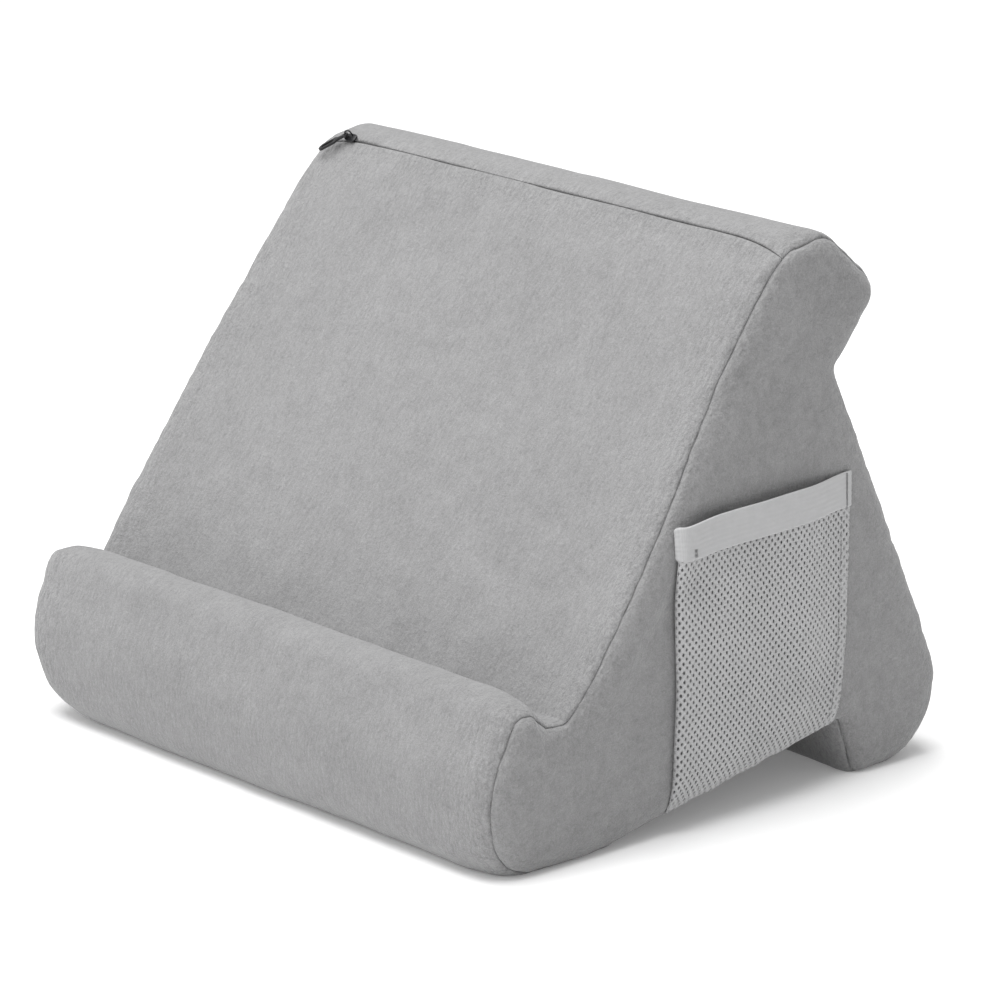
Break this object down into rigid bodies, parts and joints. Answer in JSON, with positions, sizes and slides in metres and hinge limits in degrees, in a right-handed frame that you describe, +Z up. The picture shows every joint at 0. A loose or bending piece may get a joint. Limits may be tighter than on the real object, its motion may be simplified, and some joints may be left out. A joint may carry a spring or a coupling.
{
  "type": "tablet stand",
  "caption": "Soft foam wedge tablet stand with a pinwheel section and ledges, in a zipped grey plush cover with a mesh side pocket and elastic band.",
  "frame": {"origin": "bottom centre of the bounding box, pocket included; the base rests on Z = 0", "axes": "+X along the length towards the pocket side (the user's right), +Y from the front lip to the back, +Z up"},
  "size_m": [0.2778, 0.229, 0.2129],
  "materials": {
    "plush": "short-pile crystal velvet, matt with a soft sheen",
    "foam": "open-cell polyurethane foam",
    "zip_tape": "woven polyester tape",
    "zip_coil": "nylon monofilament coil",
    "zip_metal": "black lacquered die-cast metal, satin",
    "net": "warp-knitted polyester net",
    "elastic": "ribbed knitted elastic",
    "seam_thread": "spun polyester sewing thread"
  },
  "bodies": {
    "cover": {"cover_wrap": "plush", "cover_side_right": "plush", "cover_side_left": "plush", "side_seam_thread_right": "seam_thread", "side_seam_thread_left": "seam_thread", "zipper_tape_rear": "zip_tape", "zipper_tape_front": "zip_tape", "zipper_coil_rear": "zip_coil", "zipper_coil_front": "zip_coil", "zipper_stitch_rear": "seam_thread", "zipper_stitch_front": "seam_thread", "foam_core": "foam", "zipper_end_tack_left": "seam_thread", "zipper_end_tack_right": "seam_thread", "pocket_mesh": "net", "pocket_elastic_band": "elastic", "pocket_hem_thread": "seam_thread", "pocket_bartack_front": "seam_thread", "pocket_bartack_rear": "seam_thread"},
    "slider": {"zipper_slider": "zip_metal"},
    "pull": {"zipper_pull": "zip_metal"}
  },
  "joints": [
    {"name": "zipper_slide", "type": "slide", "parent": "cover", "child": "slider", "axis": [1, 0, 0], "range_m": [0, 0.225]},
    {"name": "pull_hinge", "type": "hinge", "parent": "slider", "child": "pull", "pos_m": [-0.11675, 0.03413, 0.21121], "axis": [-0.5465, 0.7833, 0.2962], "range_deg": [0, 180]}
  ]
}
